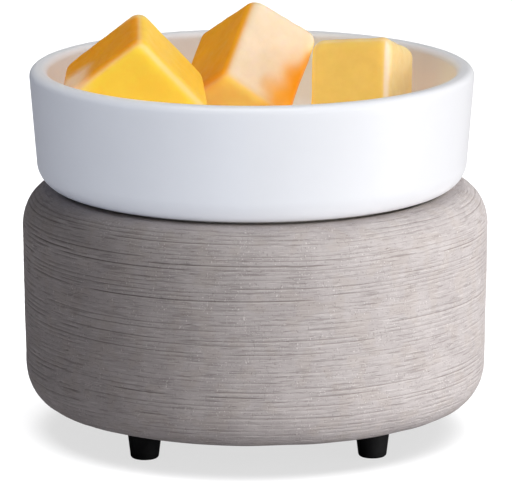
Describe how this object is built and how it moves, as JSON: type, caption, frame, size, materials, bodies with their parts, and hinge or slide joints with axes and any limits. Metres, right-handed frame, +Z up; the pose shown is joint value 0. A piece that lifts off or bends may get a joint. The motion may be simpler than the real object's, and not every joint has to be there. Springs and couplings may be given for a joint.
{
  "type": "wax melt warmer",
  "caption": "Round electric wax melt warmer: combed stoneware body on short rubber feet, white lift-out dish on a hot plate, amber wax blocks in the dish.",
  "frame": {"origin": "on the table, at the foot of the body's axis, level with the treads of the feet", "axes": "+Z up; -Y to the front; +Y to the back, where the cord goes in; +X to the right seen from the front"},
  "size_m": [0.125, 0.125, 0.1152],
  "materials": {
    "stoneware_body": "matt grey-taupe stoneware, combed with broken horizontal grooves",
    "dish_glaze": "smooth white satin glaze",
    "wax_melt": "translucent amber wax with a soft sheen",
    "black_rubber": "matt black rubber",
    "plate_aluminium": "turned aluminium",
    "gasket_silicone": "red-brown silicone",
    "mica_board": "pressed mica board",
    "fibre_pad": "white ceramic fibre",
    "zinc_steel": "bright zinc plate",
    "black_steel": "black powder coat",
    "steatite": "unglazed white steatite",
    "black_bakelite": "dark moulded phenolic",
    "lead_sleeve": "woven glass sleeving",
    "brass": "plain brass"
  },
  "bodies": {
    "warmer_base": {"base_plate": "black_steel", "base_screw_1": "zinc_steel", "base_screw_2": "zinc_steel", "base_screw_3": "zinc_steel", "ceramic_body": "stoneware_body", "cord_grommet": "black_rubber", "cutout_screw_1": "zinc_steel", "cutout_screw_2": "zinc_steel", "foot_front_left": "black_rubber", "foot_front_right": "black_rubber", "foot_rear_left": "black_rubber", "foot_rear_right": "black_rubber", "heater_bracket": "zinc_steel", "heater_element": "mica_board", "heater_plate": "plate_aluminium", "insulation_disc": "fibre_pad", "lead_heater": "lead_sleeve", "lead_return": "lead_sleeve", "lead_supply": "lead_sleeve", "plate_gasket": "gasket_silicone", "rod_nut_1": "zinc_steel", "rod_nut_2": "zinc_steel", "rod_nut_3": "zinc_steel", "spacer_rod_1": "brass", "spacer_rod_2": "brass", "spacer_rod_3": "brass", "stud_nut_1": "zinc_steel", "stud_nut_2": "zinc_steel", "stud_nut_3": "zinc_steel", "stud_washer_1": "zinc_steel", "stud_washer_2": "zinc_steel", "stud_washer_3": "zinc_steel", "terminal_block": "steatite", "terminal_fixing_screw": "zinc_steel", "terminal_screw_1": "brass", "terminal_screw_2": "brass", "thermal_cutout": "black_bakelite"},
    "dish_body": {"dish": "dish_glaze"},
    "wax_left": {"wax_block_left": "wax_melt"},
    "wax_middle": {"wax_block_middle": "wax_melt"},
    "wax_right": {"wax_block_right": "wax_melt"}
  },
  "joints": [
    {"name": "dish_lift", "type": "slide", "parent": "warmer_base", "child": "dish_body", "axis": [0, 0, 1], "range_m": [0, 0.08]},
    {"name": "wax_left_lift", "type": "slide", "parent": "dish_body", "child": "wax_left", "axis": [0, 0, 1], "range_m": [0, 0.05]},
    {"name": "wax_middle_lift", "type": "slide", "parent": "dish_body", "child": "wax_middle", "axis": [0, 0, 1], "range_m": [0, 0.05]},
    {"name": "wax_right_lift", "type": "slide", "parent": "dish_body", "child": "wax_right", "axis": [0, 0, 1], "range_m": [0, 0.05]}
  ]
}
